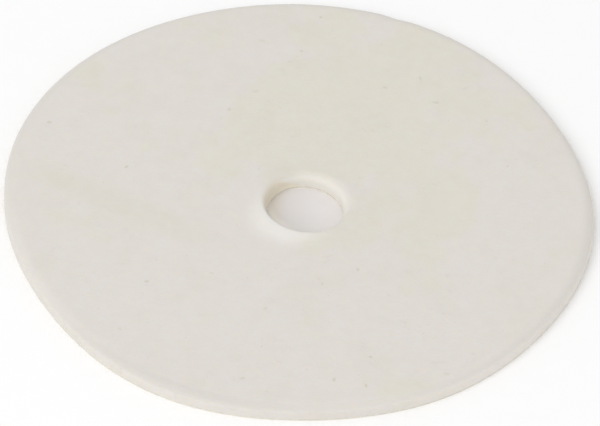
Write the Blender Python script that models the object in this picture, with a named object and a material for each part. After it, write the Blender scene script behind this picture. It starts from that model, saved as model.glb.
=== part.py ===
"""Felt polishing wheel for a flat lap: a die-cut felt disc, its adhesive film, and the liner over that.

Metres, +Z up. The origin is under the middle of the disc, at the underside of the liner, and the
polishing face looks along +Z. The wheel, which is the felt and its adhesive, lifts off the liner along +Z.
"""

import math

import bmesh
import bpy

# The wheel, and the arbor that it goes on. The hole is punched a little off the middle, towards +X.
WHEEL_DIAMETER = 0.1016
ARBOR_DIAMETER = 0.0127
ARBOR_HOLE_OFFSET = 0.0012

# The layers, from the polishing face down
FELT_THICKNESS = 0.0025
ADHESIVE_THICKNESS = 0.00013
LINER_THICKNESS = 0.00016

# Clearances. The arbor's is on the radius. Thin flat films lie closer together than solid parts would.
ARBOR_CLEARANCE = 0.00035
LAYER_GAP = 0.00005
FILM_SETBACK = 0.0002

# How far the die pulls the polishing face down where it cuts: across the face, and down the cut wall
RIM_ROLL_WIDTH = 0.0022
RIM_ROLL_DEPTH = 0.0009
HOLE_ROLL_WIDTH = 0.0010
HOLE_ROLL_DEPTH = 0.0011

# Facets, and how near two points are one
TURN_STEPS = 96
ROLL_STEPS = 4
SHARP_ANGLE = math.radians(40)
SEAM_MERGE = 0.000001

# The cut edges, and the heights of the layers' undersides
RIM_RADIUS = WHEEL_DIAMETER / 2
HOLE_RADIUS = ARBOR_DIAMETER / 2 + ARBOR_CLEARANCE
LINER_Z = 0.0
ADHESIVE_Z = LINER_Z + LINER_THICKNESS + LAYER_GAP
FELT_Z = ADHESIVE_Z + ADHESIVE_THICKNESS + LAYER_GAP


def clear_scene():
    for obj in list(bpy.data.objects):
        bpy.data.objects.remove(obj, do_unlink=True)


def plain_material(name, color, roughness):
    """A non-metallic material of one colour."""
    material = bpy.data.materials.new(name)
    material.use_nodes = True
    shader = material.node_tree.nodes["Principled BSDF"]
    shader.inputs["Base Color"].default_value = (*color, 1.0)
    shader.inputs["Roughness"].default_value = roughness
    shader.inputs["Metallic"].default_value = 0.0
    material.diffuse_color = (*color, 1.0)
    return material


def rolled_edge(cut_radius, top_z, width, depth):
    """The (radius, z) points of a quarter of an ellipse, from the face at top_z to the wall at cut_radius.

    A negative width rolls inwards from the wall, as at the rim, and a positive one outwards, as at the hole.
    """
    points = []
    for step in range(ROLL_STEPS + 1):
        angle = math.pi / 2 * step / ROLL_STEPS
        radius = cut_radius + width * (1 - math.sin(angle))
        points.append((radius, top_z - depth * (1 - math.cos(angle))))
    return points


def holed_disc(name, rim, hole, material):
    """A disc with a through hole, turned from a closed profile. The hole is then moved off the middle.

    The (radius, z) points of rim run down from the top face, and those of hole run up to it.
    """
    shell = bmesh.new()
    profile = [shell.verts.new((radius, 0.0, z)) for radius, z in rim + hole]
    edges = [shell.edges.new((profile[index - 1], vert)) for index, vert in enumerate(profile)]
    turn = {"cent": (0, 0, 0), "axis": (0, 0, 1), "angle": 2 * math.pi, "steps": TURN_STEPS}
    bmesh.ops.spin(shell, geom=profile + edges, **turn)
    bmesh.ops.remove_doubles(shell, verts=shell.verts[:], dist=SEAM_MERGE)
    middle_radius = (rim[0][0] + hole[-1][0]) / 2
    wall = [vert for vert in shell.verts if vert.co.xy.length < middle_radius]
    bmesh.ops.translate(shell, verts=wall, vec=(ARBOR_HOLE_OFFSET, 0.0, 0.0))
    bmesh.ops.recalc_face_normals(shell, faces=shell.faces[:])
    mesh = bpy.data.meshes.new(name)
    shell.to_mesh(mesh)
    shell.free()
    mesh.shade_smooth()
    mesh.set_sharp_from_angle(angle=SHARP_ANGLE)
    mesh.materials.append(material)
    obj = bpy.data.objects.new(name, mesh)
    bpy.context.scene.collection.objects.link(obj)
    return obj


def felt_disc():
    """Pressed wool felt. Both rims of the polishing face are rolled over, and the back is cut square."""
    rim = rolled_edge(RIM_RADIUS, FELT_THICKNESS, -RIM_ROLL_WIDTH, RIM_ROLL_DEPTH)
    hole = rolled_edge(HOLE_RADIUS, FELT_THICKNESS, HOLE_ROLL_WIDTH, HOLE_ROLL_DEPTH)
    material = plain_material("felt", (0.74, 0.71, 0.64), 0.95)
    return holed_disc("felt_disc", [*rim, (RIM_RADIUS, 0.0)], [(HOLE_RADIUS, 0.0), *reversed(hole)], material)


def film(name, thickness, material):
    """A flat film, set back from the felt's outer edge and from the edge of its hole."""
    outer = RIM_RADIUS - FILM_SETBACK
    inner = HOLE_RADIUS + FILM_SETBACK
    return holed_disc(name, [(outer, thickness), (outer, 0.0)], [(inner, 0.0), (inner, thickness)], material)


def adhesive_film():
    """The pressure-sensitive film that holds the felt on the plate of the lap."""
    return film("adhesive_film", ADHESIVE_THICKNESS, plain_material("adhesive", (0.72, 0.66, 0.50), 0.25))


def release_liner():
    """The siliconised paper that covers the adhesive until the wheel is used."""
    return film("release_liner", LINER_THICKNESS, plain_material("liner_paper", (0.82, 0.80, 0.75), 0.35))


def axis_empty(name, z):
    """An empty on the disc's axis, which a body's pieces are parented to."""
    empty = bpy.data.objects.new(name, None)
    empty.empty_display_size = HOLE_RADIUS
    empty.location = (0.0, 0.0, z)
    bpy.context.scene.collection.objects.link(empty)
    return empty


def place(obj, parent, z):
    """Parents a piece and puts its underside at this height above the parent."""
    obj.parent = parent
    obj.location = (0.0, 0.0, z)


def main():
    clear_scene()
    liner_axis = axis_empty("liner_axis", LINER_Z)
    place(release_liner(), liner_axis, 0.0)
    wheel_axis = axis_empty("wheel_axis", ADHESIVE_Z)
    place(adhesive_film(), wheel_axis, 0.0)
    place(felt_disc(), wheel_axis, FELT_Z - ADHESIVE_Z)


main()
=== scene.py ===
"""Looks of the felt polishing wheel: pressed wool felt, its adhesive film and the paper liner under it.

Every layer is a fine skin over its CAD node, and takes its width and its heights from the nodes' boxes.
Loose fibres and specks lie on the felt. The disc lies on a white floor, under a large soft light, with a
grey disc of painted shade seen through its hole.
"""

import math
import random

import bpy
import numpy as np
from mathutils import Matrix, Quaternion, Vector, noise


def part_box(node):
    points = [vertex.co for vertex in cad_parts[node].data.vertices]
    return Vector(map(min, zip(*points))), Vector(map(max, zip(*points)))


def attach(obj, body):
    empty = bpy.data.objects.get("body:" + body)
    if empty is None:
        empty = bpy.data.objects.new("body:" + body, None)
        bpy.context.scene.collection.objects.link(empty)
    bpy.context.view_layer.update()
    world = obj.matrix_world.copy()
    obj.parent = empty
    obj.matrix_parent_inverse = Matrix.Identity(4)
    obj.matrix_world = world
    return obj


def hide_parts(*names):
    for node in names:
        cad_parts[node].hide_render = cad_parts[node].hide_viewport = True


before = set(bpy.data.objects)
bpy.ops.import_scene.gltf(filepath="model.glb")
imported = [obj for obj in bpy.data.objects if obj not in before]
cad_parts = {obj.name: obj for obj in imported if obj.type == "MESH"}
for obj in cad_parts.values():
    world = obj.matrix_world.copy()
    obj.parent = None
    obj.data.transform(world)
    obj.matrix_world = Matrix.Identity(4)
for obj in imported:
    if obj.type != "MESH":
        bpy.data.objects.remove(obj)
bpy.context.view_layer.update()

MM = 0.001
SEED = 20

# The layers' boxes. The hole is punched a little off the middle.
FELT_LOW, FELT_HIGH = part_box("felt_disc")
LINER_LOW, LINER_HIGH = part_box("release_liner")
FELT_TOP = FELT_HIGH[2]
FELT_BACK = FELT_LOW[2]
RIM_RADIUS = FELT_HIGH[0]
HOLE_CENTRE = (1.25 * MM, -0.35 * MM)
HOLE_RADIUS = 6.70 * MM

# How far the films' cut edges stand back under the felt's
FILM_SETBACK = 0.03 * MM

# What is left here of the gaps between the layers, which lie on each other on the real wheel
LAYER_GAP = 0.01 * MM

# How far the face is pulled down where the die cut it: across the face, and down the wall
RIM_ROLL = (2.2 * MM, 0.9 * MM)
HOLE_ROLL = (1.5 * MM, 1.7 * MM)

# The rim isn't quite round: (waves round it, height of the wave, direction of its crest in degrees)
RIM_WAVES = (
    (2, 0.09 * MM, -64),
    (3, 0.18 * MM, 15),
    (4, 0.34 * MM, -18),
    (5, 0.11 * MM, 13),
    (6, 0.21 * MM, 2),
    (7, 0.08 * MM, -8),
)

# A small nick in the rim: its direction and half width in degrees, and its depth
NICK = (72.4, 3.2, 0.27 * MM)

# The hole isn't quite round either: (waves round it, height of the wave, phase)
HOLE_WAVE = (3, 0.08 * MM, 1.0)

# Where the lip of the hole is softer and where it is crisper: direction, half width in degrees, share
SOFT_LIP = (10, 110, 0.5)
CRISP_LIP = (225, 80, 0.45)

# The exponents of a rolled edge's outline. 2 and 2 would be an ellipse.
ROLL_SHAPE = (2.3, 1.9)

# The low ridge round the hole: its radius, its width and its height, and how much higher it is on the
# near left (direction, half width in degrees, height)
RIDGE_RADIUS = 7.8 * MM
RIDGE_WIDTH = 1.8 * MM
RIDGE_HEIGHT = 0.13 * MM
RIDGE_EXTRA = (235, 80, 0.25 * MM)

# How uneven the face is: (height, size of the features, seed)
FACE_NOISE = ((0.07 * MM, 22 * MM, 1), (0.025 * MM, 6 * MM, 2), (0.004 * MM, 1.6 * MM, 3))

# How rough the cut walls are: (height, size of the features, stretch upwards, seed)
WALL_NOISE = ((0.035 * MM, 0.9 * MM, 2, 5), (0.03 * MM, 3.5 * MM, 1, 6))

# Steps of the felt's skin and of the films'
AROUND = 720
ACROSS_FACE = 94
ACROSS_ROLL = 12
DOWN_WALL = 7
ACROSS_BACK = (0.02, 0.25, 0.5, 0.75, 0.98)
FILM_AROUND = 360
FILM_ACROSS_TOP = 30
FILM_ACROSS_BACK = 10

# Edges bent by more than this are sharp
SHARP_ANGLE = math.radians(75)

# Loose fibres: how many lie on the face and stand out of the cut walls, and how thin a fibre's ends are
FACE_FIBRES = 700
RIM_FIBRES = 1200
HOLE_FIBRES = 220
THREAD_TIP = 0.35

# The larger bits of straw and dark hair in the wool, in millimetres from the middle of the disc
SPECKS = (
    (-8, 40), (-1, 38), (-3, 35), (-8.5, 27), (-13, 22), (2, 47), (20, 33), (14, 30), (23, 27),
    (32, 23), (-30, 6), (-25, -22), (-14, -19), (5, -20), (11, -16), (27, -40), (13.5, -44),
    (14, -37), (-4.5, -27), (-44, 16), (-29, -34), (-7.5, -44), (8, -43), (28, 31), (36, 12),
)
SMALL_SPECKS = 70
LARGE_SPECK = 4.2
SMALL_SPECK = 1.4
SPECK_CORNERS = 12

# The wool's colours, and the colours of the painted light and shade laid on it
PINK_WOOL = (0.744, 0.706, 0.664, 1)
YELLOW_WOOL = (0.733, 0.704, 0.620, 1)
# Stains, a streak and pores in the wool, and also a patch of painted shade behind the hole
STAIN_AND_SHADE_WOOL = (0.700, 0.670, 0.585, 1)
LIGHT_WOOL = (0.790, 0.765, 0.725, 1)
# Painted highlight on the lip behind the hole and on a patch at its near left
LIP_HIGHLIGHT_WOOL = (0.835, 0.815, 0.775, 1)
# Painted light down the far wall of the hole
FAR_WALL_LIGHT_WOOL = (0.815, 0.790, 0.740, 1)
# Painted shade on the rim's roll, more of it on the near left, and painted light low on the rim's right
ROLL_SHADE_WOOL = (0.718, 0.688, 0.643, 1)
NEAR_LEFT_SHADE_WOOL = (0.680, 0.652, 0.612, 1)
RIGHT_RIM_LIGHT_WOOL = (0.835, 0.792, 0.742, 1)
# Warm painted shade on the -X wall of the hole, lighter at its foot, where it offsets the shade of the
# corner
CRESCENT_SHADE_FOOT = (0.880, 0.815, 0.690, 1)
CRESCENT_SHADE_TOP = (0.750, 0.686, 0.572, 1)

# Where the wool is yellowed, and where a faint streak lies and how it is turned
YELLOWED_PLACE = (10 * MM, 23 * MM)
STREAK_PLACE = (-31 * MM, -3 * MM, 0.0)
STREAK_TURN = math.radians(-26)

# The stage: half the floor's width, and the grey disc of painted shade that is seen in the hole, just
# above the floor
FLOOR_REACH = 3.0
SHADE_DISC_STEPS = 96
SHADE_DISC_LIFT = 0.02 * MM

# The light
KEY_PLACE = Vector((-0.72, -0.965, 1.34))
KEY_SIZE = 1.5
KEY_POWER = 12.2
ROOM_LIGHT = 0.75

# The camera
VIEW_ELEVATION = math.radians(44.04)
VIEW_ROLL = math.radians(3.53)
VIEW_DISTANCE = 1.8
VIEW_SHIFT = (-0.36 * MM, 2.02 * MM)
LENS = 624.5


# ---------------------------------------------------------------- numbers

def smoothstep(value, low, high):
    share = np.clip((value - low) / (high - low), 0.0, 1.0)
    return share * share * (3 - 2 * share)


def lobe(angle, middle, half_width):
    """1 in the middle direction, falling smoothly to 0 a half width away on either side. Degrees."""
    away = np.abs((np.degrees(angle) - middle + 180) % 360 - 180)
    return 1 - smoothstep(away, 0, half_width)


def noise_field(x, y, z, wavelength, seed):
    """Smooth noise of about -1 to 1 at each of the points, with features of this size."""
    offset = 17.3 * seed
    scaled = (np.ravel(axis) / wavelength + offset for axis in np.broadcast_arrays(x, y, z))
    values = [noise.noise(Vector(point)) for point in zip(*scaled)]
    return np.array(values).reshape(np.broadcast(x, y, z).shape)


# ---------------------------------------------------------------- the felt's shape

def rim_radius(angle):
    waves = 0
    for count, height, crest in RIM_WAVES:
        waves = waves + height * np.cos(count * (angle - math.radians(crest)))
    direction, half_width, depth = NICK
    return RIM_RADIUS + waves - depth * lobe(angle, direction, half_width)


def hole_radius(angle):
    count, height, phase = HOLE_WAVE
    return HOLE_RADIUS + height * np.cos(count * angle + phase)


def hole_roll_scale(angle):
    """How much wider than usual the lip is: soft towards +X, and crisp on the near left."""
    soft_middle, soft_half_width, softer = SOFT_LIP
    crisp_middle, crisp_half_width, crisper = CRISP_LIP
    soft = softer * lobe(angle, soft_middle, soft_half_width)
    return 1 + soft - crisper * lobe(angle, crisp_middle, crisp_half_width)


def roll(width, depth, steps):
    """How far in from the cut wall, and how far below the face, each point of a rolled edge is."""
    across, down = ROLL_SHAPE
    points = []
    for step in range(steps + 1):
        outward = math.sin(math.pi / 2 * step / steps)
        drop = 1 - (1 - outward ** across) ** (1 / down)
        points.append((width * (1 - outward), depth * drop))
    return points


def face_height(x, y):
    """How far the polishing face stands above or below its flat height."""
    from_hole = np.hypot(x - HOLE_CENTRE[0], y - HOLE_CENTRE[1])
    direction = np.arctan2(y - HOLE_CENTRE[1], x - HOLE_CENTRE[0])
    middle, half_width, extra = RIDGE_EXTRA
    ridge_height = RIDGE_HEIGHT + extra * lobe(direction, middle, half_width)
    total = ridge_height * np.exp(-(((from_hole - RIDGE_RADIUS) / RIDGE_WIDTH) ** 2))
    for height, wavelength, seed in FACE_NOISE:
        total = total + height * noise_field(x, y, 0 * x, wavelength, seed)
    return total


def felt_rings():
    """Rings of points, out over the face, down the rim, in under the disc and up the wall of the hole."""
    angle = np.arange(AROUND) * (2 * math.pi / AROUND)
    unit = np.stack([np.cos(angle), np.sin(angle)])
    centre = np.array(HOLE_CENTRE)[:, None]
    outer = rim_radius(angle)
    inner = hole_radius(angle)
    width_scale = hole_roll_scale(angle)
    rim_roll = roll(*RIM_ROLL, ACROSS_ROLL)
    hole_roll = roll(*HOLE_ROLL, ACROSS_ROLL)
    rings = []

    def ring(flat, drop):
        """A ring this far below the face. The face's unevenness dies out down the wall."""
        height = FELT_TOP - drop
        field = face_height(flat[0], flat[1])
        hold = smoothstep(height, FELT_BACK, FELT_TOP - 0.3 * MM)
        rings.append(np.stack([flat[0], flat[1], height + field * hold], axis=1))

    for inset, drop in reversed(hole_roll):
        ring(centre + unit * (inner + inset * width_scale), drop)
    start = centre + unit * (inner + HOLE_ROLL[0] * width_scale)
    end = unit * (outer - RIM_ROLL[0])
    for step in range(1, ACROSS_FACE):
        share = step / ACROSS_FACE
        ring(start + (end - start) * share, 0.0)
    for inset, drop in rim_roll:
        ring(unit * (outer - inset), drop)
    wall = FELT_TOP - FELT_BACK
    for step in range(1, DOWN_WALL + 1):
        ring(unit * outer, RIM_ROLL[1] + (wall - RIM_ROLL[1]) * step / DOWN_WALL)
    for share in ACROSS_BACK:
        ring(unit * outer * (1 - share) + (centre + unit * inner) * share, wall)
    for step in range(DOWN_WALL, 0, -1):
        ring(centre + unit * inner, HOLE_ROLL[1] + (wall - HOLE_ROLL[1]) * step / DOWN_WALL)
    return np.array(rings)


def roughen_walls(rings):
    """Moves the cut walls in and out, as the die leaves them."""
    x, y, z = np.moveaxis(rings, 2, 0)
    on_wall = 1 - smoothstep(z, FELT_TOP - 1.4 * MM, FELT_TOP - 0.2 * MM)
    inside = (z > FELT_BACK + 0.01 * MM) & (z < FELT_TOP)
    push = 0
    for height, wavelength, stretch, seed in WALL_NOISE:
        push = push + height * noise_field(x, y, z * stretch, wavelength, seed)
    rings[..., :2] *= (1 + push / np.hypot(x, y) * on_wall * inside)[..., None]
    return rings


def mesh_piece(name, verts, faces):
    """A smooth mesh, with sharp edges where it bends a lot."""
    mesh = bpy.data.meshes.new(name)
    mesh.from_pydata(verts, [], faces)
    mesh.shade_smooth()
    mesh.set_sharp_from_angle(angle=SHARP_ANGLE)
    obj = bpy.data.objects.new(name, mesh)
    bpy.context.scene.collection.objects.link(obj)
    return obj


def ring_mesh(name, rings):
    """A closed skin through rings of points that follow each other round a closed section."""
    count, around = rings.shape[:2]
    index = np.arange(count * around).reshape(count, around)
    after = np.roll(index, -1, axis=0)
    faces = np.stack([index, after, np.roll(after, -1, axis=1), np.roll(index, -1, axis=1)], axis=2)
    return mesh_piece(name, rings.reshape(-1, 3).tolist(), faces.reshape(-1, 4).tolist())


# ---------------------------------------------------------------- the two films

def film_rings(low, high, ripple):
    """A thin flat ring with crisp edges and a faint ripple in its upper face, which only lowers it."""
    angle = np.arange(FILM_AROUND) * (2 * math.pi / FILM_AROUND)
    unit = np.stack([np.cos(angle), np.sin(angle)])
    centre = np.array(HOLE_CENTRE)[:, None]
    outer = unit * (rim_radius(angle) - FILM_SETBACK)
    inner = centre + unit * (hole_radius(angle) + FILM_SETBACK)
    top = [(share, high) for share in np.linspace(0, 1, FILM_ACROSS_TOP)]
    bottom = [(share, low) for share in np.linspace(1, 0, FILM_ACROSS_BACK)]
    rings = []
    for share, height in top + bottom:
        x, y = inner + (outer - inner) * share
        wave = ripple * (noise_field(x, y, 0 * x, 9 * MM, 7) - 1) * (height == high)
        rings.append(np.stack([x, y, height + wave], axis=1))
    return np.array(rings)


# ---------------------------------------------------------------- loose fibres and specks

def face_z(place):
    return FELT_TOP + float(face_height(np.array(place.x), np.array(place.y)))


def somewhere(dice, inner, outer):
    """A place on the face, between two radii in millimetres."""
    radius = math.sqrt(dice.uniform(inner ** 2, outer ** 2)) * MM
    around = dice.uniform(0, 2 * math.pi)
    return Vector((radius * math.cos(around), radius * math.sin(around)))


def joined_piece(name, shapes):
    """One piece of many small shapes, each of them given as its vertices and its faces."""
    verts = []
    faces = []
    for new_verts, new_faces in shapes:
        faces += [tuple(index + len(verts) for index in face) for face in new_faces]
        verts += new_verts
    return mesh_piece(name, verts, faces)


def thread(points, radius):
    """The vertices and faces of a three-sided thread through the points, tapered at both ends."""
    last = len(points) - 1
    verts = []
    faces = []
    for step, point in enumerate(points):
        ahead = points[min(step + 1, last)] - points[max(step - 1, 0)]
        side = ahead.orthogonal().normalized()
        other = ahead.normalized().cross(side)
        thick = radius * (THREAD_TIP if step in (0, last) else 1)
        for corner in range(3):
            turn = 2 * math.pi * corner / 3
            verts.append(point + (side * math.cos(turn) + other * math.sin(turn)) * thick)
    for base in range(0, 3 * last, 3):
        for corner in range(3):
            after = (corner + 1) % 3
            faces.append((base + corner, base + after, base + 3 + after, base + 3 + corner))
    end = 3 * last
    return verts, [*faces, (2, 1, 0), (end, end + 1, end + 2)]


def lying_fibre(dice):
    """The points and the radius of a fibre that lies on the face and curls a little."""
    place = somewhere(dice, 9.5, 48)
    heading = dice.uniform(0, 2 * math.pi)
    curl = dice.uniform(-0.5, 0.5)
    step_length = dice.uniform(0.15, 0.45) * MM
    steps = 7
    points = []
    for step in range(steps + 1):
        lift = 0.012 * MM * math.sin(math.pi * step / steps)
        points.append(Vector((place.x, place.y, face_z(place) + lift)))
        heading += curl + dice.uniform(-0.35, 0.35)
        place += Vector((math.cos(heading), math.sin(heading))) * step_length
    return points, dice.uniform(0.006, 0.009) * MM


def edge_fibre(dice, rim):
    """The points and the radius of a fibre that stands out of a cut wall and bends over."""
    around = dice.uniform(0, 2 * math.pi)
    angle = np.array(around)
    if rim:
        centre = Vector((0, 0))
        wall = float(rim_radius(angle))
        out = 1
    else:
        centre = Vector(HOLE_CENTRE)
        wall = float(hole_radius(angle))
        out = -1
    height = dice.uniform(FELT_BACK + 0.2 * MM, FELT_TOP - 0.5 * MM)
    length = dice.uniform(0.25, 0.7) * MM
    lean = dice.uniform(-1.2, 1.2)
    rise = dice.uniform(-0.3, 0.6)
    steps = 5
    points = []
    for step in range(steps + 1):
        share = step / steps
        radius = wall + out * length * (math.sin(share * 1.6) - 0.12)
        turn = around + lean * length * share * share / wall
        flat = centre + Vector((math.cos(turn), math.sin(turn))) * radius
        points.append(Vector((flat.x, flat.y, height + rise * length * share)))
    return points, dice.uniform(0.007, 0.011) * MM


def felt_fibres():
    dice = random.Random(SEED)
    paths = [lying_fibre(dice) for _ in range(FACE_FIBRES)]
    paths += [edge_fibre(dice, True) for _ in range(RIM_FIBRES)]
    paths += [edge_fibre(dice, False) for _ in range(HOLE_FIBRES)]
    return joined_piece("felt_fibres", [thread(points, radius) for points, radius in paths])


def speck(dice, place, scale):
    """The vertices and faces of a low pointed bit that is nearly buried in the face."""
    width = dice.uniform(0.12, 0.2) * MM * scale
    length = width * dice.uniform(1.2, 2.4)
    heading = dice.uniform(0, math.pi)
    middle = face_z(place)
    along = Vector((math.cos(heading), math.sin(heading), 0.0))
    aside = Vector((-along.y, along.x, 0.0))
    verts = []
    faces = []
    for corner in range(SPECK_CORNERS):
        turn = 2 * math.pi * corner / SPECK_CORNERS
        flat = along * (length / 2 * math.cos(turn)) + aside * (width / 2 * math.sin(turn))
        verts.append(Vector((place.x, place.y, middle - 0.01 * MM)) + flat)
    verts.append(Vector((place.x, place.y, middle + 0.035 * MM)))
    verts.append(Vector((place.x, place.y, middle - 0.09 * MM)))
    for corner in range(SPECK_CORNERS):
        after = (corner + 1) % SPECK_CORNERS
        faces += [(corner, after, SPECK_CORNERS), (after, corner, SPECK_CORNERS + 1)]
    return verts, faces


def felt_specks():
    """The larger bits at their places, and many small ones anywhere."""
    dice = random.Random(SEED + 1)
    large = [Vector((x * MM, y * MM)) for x, y in SPECKS]
    small = [somewhere(dice, 10, 47) for _ in range(SMALL_SPECKS)]
    shapes = [speck(dice, place, LARGE_SPECK) for place in large]
    shapes += [speck(dice, place, SMALL_SPECK) for place in small]
    return joined_piece("felt_specks", shapes)


# ---------------------------------------------------------------- nodes

def new_material(name):
    material = bpy.data.materials.new(name)
    material.use_nodes = True
    return material, material.node_tree.nodes["Principled BSDF"]


def add(tree, kind, inputs=None, **settings):
    """Adds a node. Each input is a socket to link from, or a value to set."""
    made = tree.nodes.new(kind)
    for name, value in settings.items():
        setattr(made, name, value)
    for name, value in (inputs or {}).items():
        if isinstance(value, bpy.types.NodeSocket):
            tree.links.new(value, made.inputs[name])
        else:
            made.inputs[name].default_value = value
    return made


def object_place(tree):
    return add(tree, "ShaderNodeTexCoord").outputs["Object"]


def split(tree, vector):
    """The X, Y and Z of a vector, by name."""
    return add(tree, "ShaderNodeSeparateXYZ", {0: vector}).outputs


def math_node(tree, operation, first, second):
    return add(tree, "ShaderNodeMath", {0: first, 1: second}, operation=operation).outputs[0]


def vector_math(tree, operation, first, second):
    return add(tree, "ShaderNodeVectorMath", {0: first, 1: second}, operation=operation).outputs


def times(tree, first, *others):
    """The product of sockets and numbers."""
    for other in others:
        first = math_node(tree, "MULTIPLY", first, other)
    return first


def mix_color(tree, factor, first, second):
    return add(tree, "ShaderNodeMix", {0: factor, 6: first, 7: second}, data_type="RGBA").outputs[2]


def noise_node(tree, vector, wavelength, detail=2.0, roughness=0.5):
    inputs = {"Vector": vector, "Scale": 1 / wavelength, "Detail": detail, "Roughness": roughness}
    return add(tree, "ShaderNodeTexNoise", inputs).outputs["Fac"]


def ramp(tree, value, low, high, to_low=0.0, to_high=1.0):
    """A smooth step of the value from low to high."""
    inputs = {"Value": value, "From Min": low, "From Max": high, "To Min": to_low, "To Max": to_high}
    made = add(tree, "ShaderNodeMapRange", inputs, interpolation_type="SMOOTHSTEP")
    return made.outputs["Result"]


def warped(tree, vector, wavelength, distance):
    """The vector, pushed about by noise, so that what is drawn with it curls."""
    push = add(tree, "ShaderNodeTexNoise", {"Vector": vector, "Scale": 1 / wavelength, "Detail": 1.0})
    middle = vector_math(tree, "SUBTRACT", push.outputs["Color"], (0.5, 0.5, 0.5))[0]
    scaled = add(tree, "ShaderNodeVectorMath", {0: middle, "Scale": distance}, operation="SCALE")
    return vector_math(tree, "ADD", vector, scaled.outputs[0])[0]


def fibres(tree, vector, degrees, length, width, seed):
    """Thin light streaks, like hairs that lie along one direction."""
    mapping = add(tree, "ShaderNodeMapping", {
        "Vector": vector,
        "Location": (seed * 3.7, seed * 1.9, seed * 0.7),
        "Rotation": (0.0, 0.0, math.radians(degrees)),
        "Scale": (1 / length, 1 / width, 1 / length),
    })
    grain = add(tree, "ShaderNodeTexNoise", {"Vector": mapping.outputs[0], "Scale": 1.0, "Detail": 1.0})
    return ramp(tree, grain.outputs["Fac"], 0.52, 0.72)


def near(tree, place, middle, inner, outer):
    """1 within the inner radius of a vertical axis and 0 beyond the outer one. Swapped, the reverse."""
    flat = vector_math(tree, "MULTIPLY", place, (1, 1, 0))[0]
    reach = vector_math(tree, "DISTANCE", flat, (*middle, 0))["Value"]
    return ramp(tree, reach, outer, inner)


def towards(tree, place, degrees, low, high):
    """0 up to the low share of the rim's radius in this direction, and 1 beyond the high share."""
    heading = (math.cos(math.radians(degrees)), math.sin(math.radians(degrees)), 0)
    reach = vector_math(tree, "DOT_PRODUCT", place, heading)["Value"]
    return ramp(tree, reach, low * RIM_RADIUS, high * RIM_RADIUS)


def bumpy(tree, shader, height, strength, distance):
    bumps = add(tree, "ShaderNodeBump", {"Height": height, "Strength": strength, "Distance": distance})
    tree.links.new(bumps.outputs[0], shader.inputs["Normal"])


# ---------------------------------------------------------------- the felt's colour

def painted_crescent_shade(tree, place):
    """Where warm painted shade lies on the hole's wall: all down its -X side, and less and less of its
    foot towards +X.
    """
    wall = near(tree, place, HOLE_CENTRE, HOLE_RADIUS + 0.6 * MM, HOLE_RADIUS + 1.5 * MM)
    parts = split(tree, place)
    left = HOLE_CENTRE[0] - 6.5 * MM
    right = HOLE_CENTRE[0] + 1.0 * MM
    level = ramp(tree, parts["X"], left, right, FELT_TOP, FELT_BACK - 0.2 * MM)
    below = math_node(tree, "SUBTRACT", level, parts["Z"])
    low = ramp(tree, below, -0.35 * MM, 0.35 * MM)
    back = ramp(tree, parts["Y"], -4.5 * MM, -1.0 * MM)
    return times(tree, low, back, wall)


def painted_far_wall_light(tree, place):
    """How much painted light lies down the wall of the hole, most on its far side."""
    parts = split(tree, place)
    low = ramp(tree, parts["Z"], FELT_TOP, FELT_TOP - 0.7 * MM)
    hole = near(tree, place, HOLE_CENTRE, HOLE_RADIUS + 2.5 * MM, HOLE_RADIUS + 3.5 * MM)
    far = ramp(tree, parts["Y"], HOLE_CENTRE[1] - 4 * MM, HOLE_CENTRE[1] + 2 * MM, 0.2, 1.0)
    return times(tree, low, hole, far)


def painted_lip_highlight(tree, place):
    """Where a painted highlight lies: a thin line behind the hole, and a patch on its near left."""
    lip = near(tree, place, HOLE_CENTRE, HOLE_RADIUS + 0.3 * MM, HOLE_RADIUS + 1.4 * MM)
    parts = split(tree, place)
    right = ramp(tree, parts["X"], HOLE_CENTRE[0] - 4 * MM, HOLE_CENTRE[0] + 1 * MM)
    far = ramp(tree, parts["Y"], HOLE_CENTRE[1] - 1 * MM, HOLE_CENTRE[1] + 6 * MM, 0.0, 0.5)
    middle = (HOLE_CENTRE[0] - 2.5 * MM, HOLE_CENTRE[1] - 3.7 * MM)
    patch = near(tree, place, middle, 4.2 * MM, 8.8 * MM)
    return math_node(tree, "MAXIMUM", times(tree, lip, right, far), patch)


def wool_patches(tree, place):
    """Pink and yellow patches, more of them yellow behind the hole, with a few aged stains."""
    patches = noise_node(tree, place, 17 * MM, 4.0, 0.6)
    stains = noise_node(tree, place, 7 * MM, 2.0, 0.5)
    yellowed = near(tree, place, YELLOWED_PLACE, 10 * MM, 38 * MM)
    lean = math_node(tree, "ADD", patches, times(tree, yellowed, 0.25))
    color = mix_color(tree, ramp(tree, lean, 0.59, 0.68), PINK_WOOL, YELLOW_WOOL)
    return mix_color(tree, ramp(tree, stains, 0.45, 0.75, 0.0, 0.35), color, STAIN_AND_SHADE_WOOL)


def faint_streak(tree, place):
    """1 on a streak across the left of the face, and 0 around it."""
    turned = add(tree, "ShaderNodeMapping", {
        "Vector": place, "Location": STREAK_PLACE, "Rotation": (0.0, 0.0, STREAK_TURN),
    }, vector_type="TEXTURE")
    parts = split(tree, turned.outputs[0])
    along = ramp(tree, math_node(tree, "ABSOLUTE", parts["X"], 0.0), 23 * MM, 10 * MM)
    aside = ramp(tree, math_node(tree, "ABSOLUTE", parts["Y"], 0.0), 4.5 * MM, 0.8 * MM)
    return times(tree, along, aside)


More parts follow.
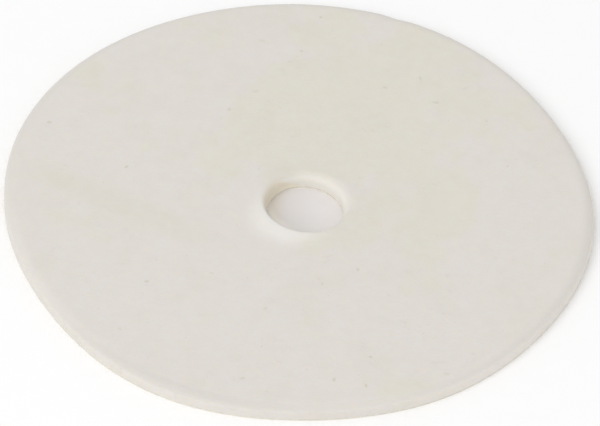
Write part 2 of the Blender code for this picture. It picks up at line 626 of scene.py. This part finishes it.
def rim_tones(tree, place, color):
    """The rim: painted shade all along its roll, more painted shade on the near left, and painted light
    low down on the right.
    """
    height = split(tree, place)["Z"]
    rim = near(tree, place, (0, 0), RIM_RADIUS - 0.3 * MM, RIM_RADIUS - 1.8 * MM)
    upper = ramp(tree, height, FELT_TOP - 1.0 * MM, FELT_TOP - 0.4 * MM)
    rolled = times(tree, rim, upper)
    # Painted shade all along the rim's roll
    color = mix_color(tree, rolled, color, ROLL_SHADE_WOOL)
    # More painted shade on the roll's near left
    near_left_shade = times(tree, rolled, towards(tree, place, 240, 0.60, 1.0), 0.6)
    color = mix_color(tree, near_left_shade, color, NEAR_LEFT_SHADE_WOOL)
    # Painted light low on the rim's wall towards the right
    outermost = near(tree, place, (0, 0), RIM_RADIUS - 1.4 * MM, RIM_RADIUS - 2.4 * MM)
    lower = ramp(tree, height, FELT_TOP - 0.25 * MM, FELT_TOP - 1.05 * MM)
    right_rim_light = times(tree, outermost, lower, 0.9, towards(tree, place, 335, 0.60, 1.0))
    return mix_color(tree, right_rim_light, color, RIGHT_RIM_LIGHT_WOOL)


def hole_tones(tree, place, color):
    """Round the hole: a patch of painted shade behind its left, a painted highlight on the lip, painted
    light down the far wall, and warm painted shade on the -X wall.
    """
    # A patch of painted shade on the face behind the hole's left
    shade_patch = near(tree, place, (HOLE_CENTRE[0] - 4.5 * MM, HOLE_CENTRE[1] + 6 * MM), 1.5 * MM, 5 * MM)
    color = mix_color(tree, times(tree, shade_patch, 0.5), color, STAIN_AND_SHADE_WOOL)
    # Painted highlight on the hole's lip and on a patch at its near left
    color = mix_color(tree, times(tree, painted_lip_highlight(tree, place), 0.7), color, LIP_HIGHLIGHT_WOOL)
    # Painted light down the far wall of the hole
    color = mix_color(tree, painted_far_wall_light(tree, place), color, FAR_WALL_LIGHT_WOOL)
    # Warm painted shade down the hole's -X wall, lighter towards its foot
    height = ramp(tree, split(tree, place)["Z"], FELT_BACK - 0.2 * MM, FELT_BACK + 2.0 * MM)
    warm_shade_tone = mix_color(tree, height, CRESCENT_SHADE_FOOT, CRESCENT_SHADE_TOP)
    return mix_color(tree, painted_crescent_shade(tree, place), color, warm_shade_tone)


def felt_color(tree, place, hairs, clumps, pores):
    """Cream wool with patches and a faint streak, lighter clumps and hairs, and painted light and shade
    round the rim and the hole.
    """
    color = wool_patches(tree, place)
    color = mix_color(tree, times(tree, faint_streak(tree, place), 0.55), color, STAIN_AND_SHADE_WOOL)
    color = mix_color(tree, ramp(tree, clumps, 0.3, 0.7, 0.0, 0.22), color, LIGHT_WOOL)
    color = mix_color(tree, ramp(tree, pores, 0.62, 0.42, 0.0, 0.14), color, STAIN_AND_SHADE_WOOL)
    color = mix_color(tree, times(tree, hairs, 0.10), color, LIGHT_WOOL)
    return hole_tones(tree, place, rim_tones(tree, place, color))


# ---------------------------------------------------------------- materials

def felt_material():
    material, shader = new_material("pressed_wool_felt")
    tree = material.node_tree
    place = object_place(tree)
    curled = warped(tree, place, 1.2 * MM, 0.7 * MM)
    hairs = fibres(tree, curled, 10, 2.2 * MM, 0.11 * MM, 1)
    for number, degrees in enumerate((55, 100, 150), start=2):
        more = fibres(tree, curled, degrees, 2.0 * MM, 0.12 * MM, number)
        hairs = math_node(tree, "MAXIMUM", hairs, more)
    clumps = noise_node(tree, place, 2.4 * MM, 3.0, 0.6)
    pores = noise_node(tree, place, 0.45 * MM, 2.0, 0.6)
    tree.links.new(felt_color(tree, place, hairs, clumps, pores), shader.inputs["Base Color"])

    height = times(tree, hairs, 0.5)
    height = math_node(tree, "ADD", height, times(tree, clumps, 0.9))
    height = math_node(tree, "ADD", height, times(tree, pores, 0.5))
    bumpy(tree, shader, height, 0.4, 0.06 * MM)
    tree.links.new(ramp(tree, clumps, 0.2, 0.8, 0.9, 1.0), shader.inputs["Roughness"])
    shader.inputs["Specular IOR Level"].default_value = 0.15
    shader.inputs["Sheen Weight"].default_value = 0.08
    shader.inputs["Sheen Roughness"].default_value = 0.6
    shader.inputs["Subsurface Weight"].default_value = 0.25
    shader.inputs["Subsurface Radius"].default_value = (1.0, 0.8, 0.55)
    shader.inputs["Subsurface Scale"].default_value = 0.5 * MM
    return material


def loose_fibre_material():
    material, shader = new_material("loose_wool_fibre")
    tree = material.node_tree
    tone = noise_node(tree, object_place(tree), 3 * MM)
    color = mix_color(tree, ramp(tree, tone, 0.35, 0.65), (0.70, 0.65, 0.56, 1), (0.84, 0.81, 0.76, 1))
    tree.links.new(color, shader.inputs["Base Color"])
    tree.links.new(ramp(tree, tone, 0.3, 0.7, 0.55, 0.75), shader.inputs["Roughness"])
    shader.inputs["Specular IOR Level"].default_value = 0.3
    return material


def speck_material():
    material, shader = new_material("straw_and_dark_hair")
    tree = material.node_tree
    tone = noise_node(tree, object_place(tree), 5 * MM)
    color = mix_color(tree, ramp(tree, tone, 0.4, 0.6), (0.66, 0.618, 0.535, 1), (0.70, 0.665, 0.60, 1))
    tree.links.new(color, shader.inputs["Base Color"])
    tree.links.new(ramp(tree, tone, 0.3, 0.7, 0.6, 0.8), shader.inputs["Roughness"])
    return material


def adhesive_material():
    """Milky amber adhesive, wetted out on the felt in some places more than in others."""
    material, shader = new_material("pressure_sensitive_adhesive")
    tree = material.node_tree
    place = object_place(tree)
    wet = noise_node(tree, place, 1.1 * MM, 3.0, 0.6)
    drift = noise_node(tree, place, 12 * MM)
    color = mix_color(tree, ramp(tree, wet, 0.38, 0.62), (0.70, 0.65, 0.53, 1), (0.80, 0.765, 0.665, 1))
    color = mix_color(tree, ramp(tree, drift, 0.3, 0.7, 0.0, 0.4), color, (0.74, 0.68, 0.54, 1))
    tree.links.new(color, shader.inputs["Base Color"])
    tree.links.new(ramp(tree, wet, 0.3, 0.7, 0.12, 0.32), shader.inputs["Roughness"])
    bumpy(tree, shader, wet, 0.4, 0.05 * MM)
    shader.inputs["IOR"].default_value = 1.47
    return material


def liner_material():
    """Bleached kraft paper under a silicone coat: cloudy when seen closely, with single darker fibres."""
    material, shader = new_material("siliconised_paper")
    tree = material.node_tree
    place = object_place(tree)
    curled = warped(tree, place, 1.5 * MM, 0.6 * MM)
    cloud = noise_node(tree, place, 2.6 * MM, 4.0, 0.6)
    hairs = fibres(tree, curled, 20, 1.8 * MM, 0.08 * MM, 5)
    hairs = math_node(tree, "MAXIMUM", hairs, fibres(tree, curled, 95, 1.8 * MM, 0.08 * MM, 6))
    color = mix_color(tree, ramp(tree, cloud, 0.35, 0.65), (0.79, 0.765, 0.70, 1), (0.85, 0.83, 0.785, 1))
    color = mix_color(tree, times(tree, hairs, 0.18), color, (0.70, 0.66, 0.58, 1))
    tree.links.new(color, shader.inputs["Base Color"])
    tree.links.new(ramp(tree, cloud, 0.3, 0.7, 0.28, 0.42), shader.inputs["Roughness"])
    bumpy(tree, shader, cloud, 0.25, 0.04 * MM)
    shader.inputs["Coat Weight"].default_value = 0.25
    shader.inputs["Coat Roughness"].default_value = 0.3
    return material


def floor_material():
    """A matte white surface that drifts a little in tone."""
    material, shader = new_material("white_floor")
    tree = material.node_tree
    tone = ramp(tree, noise_node(tree, object_place(tree), 4 * MM), 0.3, 0.7)
    color = mix_color(tree, tone, (0.985, 0.985, 0.985, 1), (0.99, 0.99, 0.99, 1))
    tree.links.new(color, shader.inputs["Base Color"])
    shader.inputs["Roughness"].default_value = 0.9
    shader.inputs["Specular IOR Level"].default_value = 0.1
    return material


def shade_in_hole_material():
    """Painted shade for the floor seen in the hole: a painted shadow, darker and browner towards the
    left, with a crescent of painted light along its near left.
    """
    material, shader = new_material("painted_shade_in_hole")
    tree = material.node_tree
    place = object_place(tree)
    parts = split(tree, place)
    across = math_node(tree, "ADD", parts["X"], times(tree, parts["Y"], 0.5))
    tone = noise_node(tree, place, 4 * MM)
    # Painted shadow of the hole's left wall: darker to the left, lighter to the right
    right = ramp(tree, across, -7 * MM, 9 * MM)
    color = mix_color(tree, right, (0.665, 0.637, 0.612, 1), (0.810, 0.780, 0.765, 1))
    color = mix_color(tree, ramp(tree, tone, 0.3, 0.7, 0.0, 0.2), color, (0.700, 0.670, 0.652, 1))
    # More painted shade, browner, towards the left
    left = ramp(tree, parts["X"], -1.5 * MM, -5.0 * MM, 0.0, 0.8)
    color = mix_color(tree, left, color, (0.70, 0.645, 0.56, 1))
    # A crescent of painted light along the near left, against the shade there
    pale = near(tree, place, (HOLE_CENTRE[0], HOLE_CENTRE[1] + 3 * MM), 6.8 * MM, 5.4 * MM)
    pale = times(tree, pale, ramp(tree, parts["X"], 1 * MM, -3 * MM, 0.0, 0.6))
    color = mix_color(tree, pale, color, (0.87, 0.83, 0.775, 1))
    tree.links.new(color, shader.inputs["Base Color"])
    shader.inputs["Roughness"].default_value = 0.9
    return material


# ---------------------------------------------------------------- assembly

def dress(obj, material, body):
    """Gives a piece its material, and has it move with a body."""
    obj.data.materials.append(material)
    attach(obj, body)


def make_felt():
    felt = ring_mesh("felt_skin", roughen_walls(felt_rings()))
    dress(felt, felt_material(), "wheel")
    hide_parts("felt_disc")
    loose = felt_fibres()
    dress(loose, loose_fibre_material(), "wheel")
    specks = felt_specks()
    dress(specks, speck_material(), "wheel")


def make_film():
    """The adhesive. It fills what is between the liner and the felt, but for the layers' gaps."""
    rings = film_rings(LINER_HIGH[2] + LAYER_GAP, FELT_BACK - LAYER_GAP, 0.004 * MM)
    film = ring_mesh("adhesive_skin", rings)
    dress(film, adhesive_material(), "wheel")
    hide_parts("adhesive_film")


def make_liner():
    liner = ring_mesh("liner_skin", film_rings(LINER_LOW[2], LINER_HIGH[2], 0.006 * MM))
    dress(liner, liner_material(), "liner")
    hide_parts("release_liner")


def flat_piece(name, corners, material):
    """One flat face that belongs to the stage."""
    mesh = bpy.data.meshes.new(name)
    mesh.from_pydata(corners, [], [range(len(corners))])
    mesh.materials.append(material)
    obj = bpy.data.objects.new(name, mesh)
    bpy.context.scene.collection.objects.link(obj)


def make_floor():
    """A white floor, and a grey disc of painted shade that is seen through the hole."""
    reach = FLOOR_REACH
    corners = [(-reach, -reach, 0), (reach, -reach, 0), (reach, reach, 0), (-reach, reach, 0)]
    flat_piece("floor", corners, floor_material())
    # A grey disc of painted shade, seen through the hole just above the floor
    radius = HOLE_RADIUS + 0.5 * FILM_SETBACK
    corners = []
    for step in range(SHADE_DISC_STEPS):
        turn = 2 * math.pi * step / SHADE_DISC_STEPS
        x = HOLE_CENTRE[0] + radius * math.cos(turn)
        y = HOLE_CENTRE[1] + radius * math.sin(turn)
        corners.append((x, y, SHADE_DISC_LIFT))
    flat_piece("shade_disc_in_hole", corners, shade_in_hole_material())


def make_lights():
    """A large soft light high on the near left, in a bright white room that gives most of the light."""
    lamp = bpy.data.lights.new("key", "AREA")
    lamp.shape = "DISK"
    lamp.size = KEY_SIZE
    lamp.energy = KEY_POWER
    key = bpy.data.objects.new("key", lamp)
    key.location = KEY_PLACE
    key.rotation_euler = key.location.to_track_quat("Z", "Y").to_euler()
    bpy.context.scene.collection.objects.link(key)
    world = bpy.data.worlds.new("room")
    world.use_nodes = True
    sky = world.node_tree.nodes["Background"]
    sky.inputs["Color"].default_value = (1, 1, 1, 1)
    sky.inputs["Strength"].default_value = ROOM_LIGHT
    bpy.context.scene.world = world
    bpy.context.scene.view_settings.view_transform = "Standard"


def make_camera():
    """A long lens, looking down from the front, turned a little about its own axis."""
    data = bpy.data.cameras.new("camera")
    data.lens = LENS
    data.clip_start = 0.1
    data.clip_end = 20
    camera = bpy.data.objects.new("camera", data)
    bpy.context.scene.collection.objects.link(camera)
    backwards = Vector((0, -math.cos(VIEW_ELEVATION), math.sin(VIEW_ELEVATION)))
    turn = backwards.to_track_quat("Z", "Y") @ Quaternion((0, 0, 1), VIEW_ROLL)
    aim = Vector((0, 0, FELT_TOP)) - turn @ Vector((*VIEW_SHIFT, 0))
    camera.location = aim + backwards * VIEW_DISTANCE
    camera.rotation_mode = "QUATERNION"
    camera.rotation_quaternion = turn
    bpy.context.scene.camera = camera


make_camera()
make_lights()
make_floor()
make_liner()
make_film()
make_felt()
